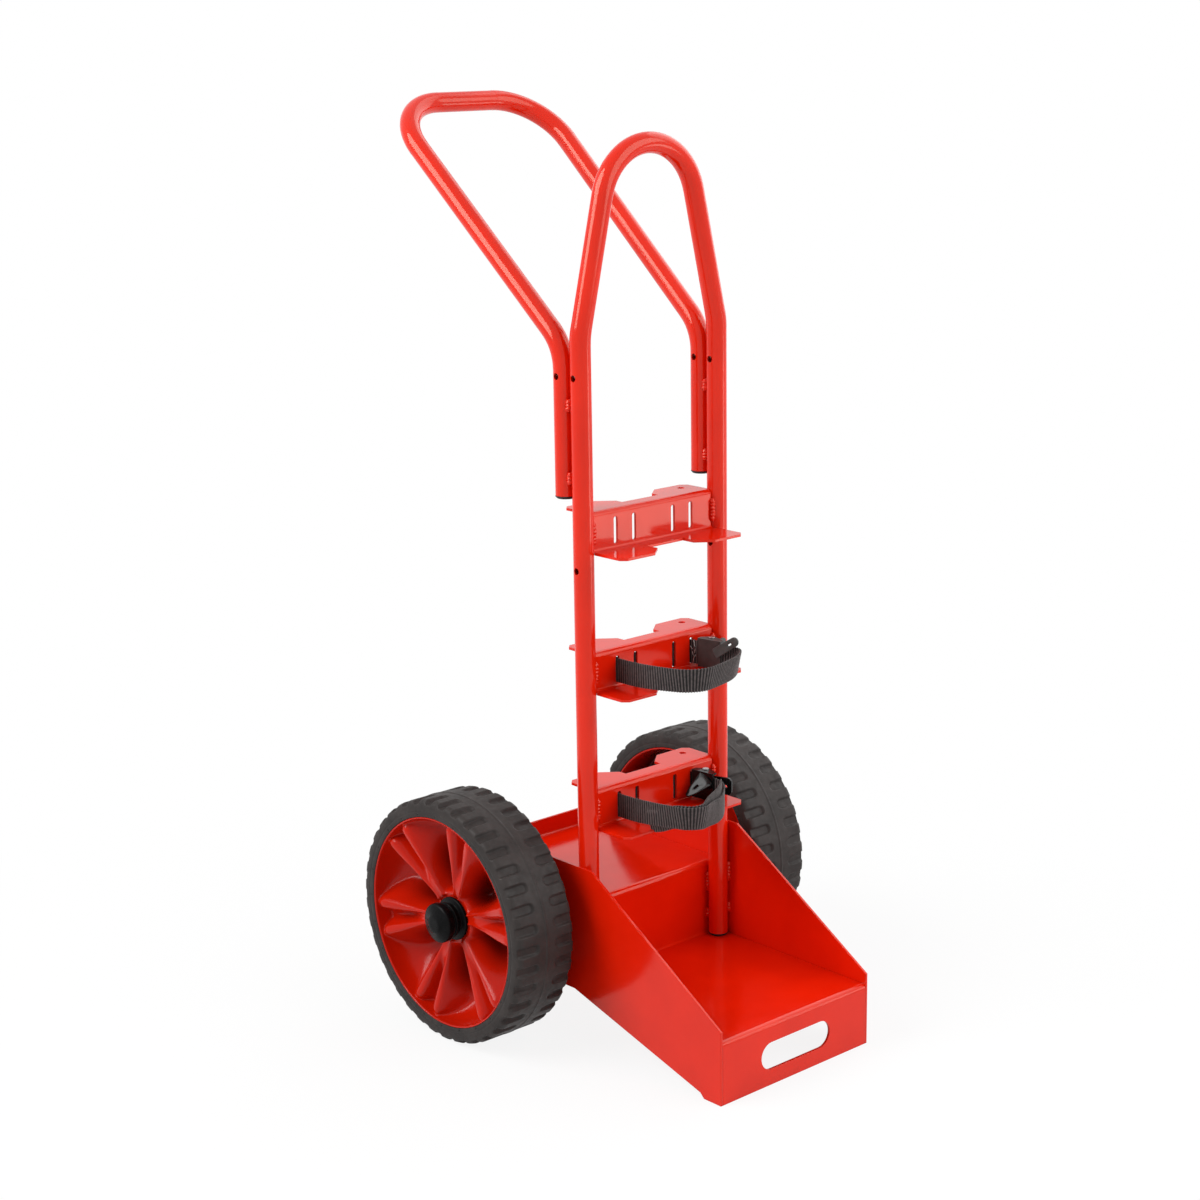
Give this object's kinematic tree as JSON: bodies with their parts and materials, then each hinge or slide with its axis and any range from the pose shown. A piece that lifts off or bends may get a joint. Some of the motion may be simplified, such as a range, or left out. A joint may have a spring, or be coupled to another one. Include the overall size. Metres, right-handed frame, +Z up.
{
  "type": "gas cylinder trolley",
  "caption": "Gas cylinder trolley: bent red tube frame with angled push handle, slotted crossbars, folded tray, spoked wheels on an axle and webbing straps with cam buckles.",
  "frame": {"origin": "middle of the bounding box, on the floor", "axes": "+X across to the right seen from the tray's front, -Y to the tray's front lip, +Z up"},
  "size_m": [0.5044, 0.5892, 1.1383],
  "materials": {
    "red_paint": "glossy powder coat",
    "weld_paint": "glossy powder coat over weld beads",
    "black_plastic": "satin moulded plastic",
    "bright_steel": "zinc plated",
    "red_plastic": "glossy moulded plastic",
    "tyre_rubber": "matt rubber",
    "bush_plastic": "plain nylon",
    "webbing": "woven polyester",
    "buckle_black": "black coated steel sheet",
    "lever_grey": "grey coated zinc casting"
  },
  "bodies": {
    "chassis": {"frame_hoop": "red_paint", "leg_plugs": "black_plastic", "handle_tube": "red_paint", "handle_plugs": "black_plastic", "handle_welds": "weld_paint", "upper_crossbar": "red_paint", "middle_crossbar": "red_paint", "lower_crossbar": "red_paint", "crossbar_welds": "weld_paint", "tray_pan": "red_paint", "left_side_plate": "red_paint", "right_side_plate": "red_paint", "tray_welds": "weld_paint", "axle": "bright_steel", "axle_spacers": "bright_steel", "axle_welds": "weld_paint", "axle_washers": "bright_steel", "left_hub_cap": "black_plastic", "right_hub_cap": "black_plastic", "upper_strap": "webbing", "lower_strap": "webbing", "upper_buckle_body": "buckle_black", "lower_buckle_body": "buckle_black", "upper_buckle_pin": "bright_steel", "lower_buckle_pin": "bright_steel"},
    "left_wheel": {"left_wheel_rim": "red_plastic", "left_tyre": "tyre_rubber", "left_wheel_bush": "bush_plastic"},
    "right_wheel": {"right_wheel_rim": "red_plastic", "right_tyre": "tyre_rubber", "right_wheel_bush": "bush_plastic"},
    "upper_lever": {"upper_cam_lever": "lever_grey"},
    "lower_lever": {"lower_cam_lever": "lever_grey"}
  },
  "joints": [
    {"name": "left_wheel_spin", "type": "hinge", "parent": "chassis", "child": "left_wheel", "pos_m": [-0.2005, 0.07394, 0.154], "axis": [1, 0, 0], "continuous": true},
    {"name": "right_wheel_spin", "type": "hinge", "parent": "chassis", "child": "right_wheel", "pos_m": [0.2005, 0.07394, 0.154], "axis": [1, 0, 0], "continuous": true},
    {"name": "upper_lever_turn", "type": "hinge", "parent": "chassis", "child": "upper_lever", "pos_m": [0.07315, -0.08084, 0.4655], "axis": [0, 0, 1], "range_deg": [-85, 5]},
    {"name": "lower_lever_turn", "type": "hinge", "parent": "chassis", "child": "lower_lever", "pos_m": [0.07006, -0.07255, 0.295], "axis": [0, 0, 1], "range_deg": [0, 75]}
  ]
}
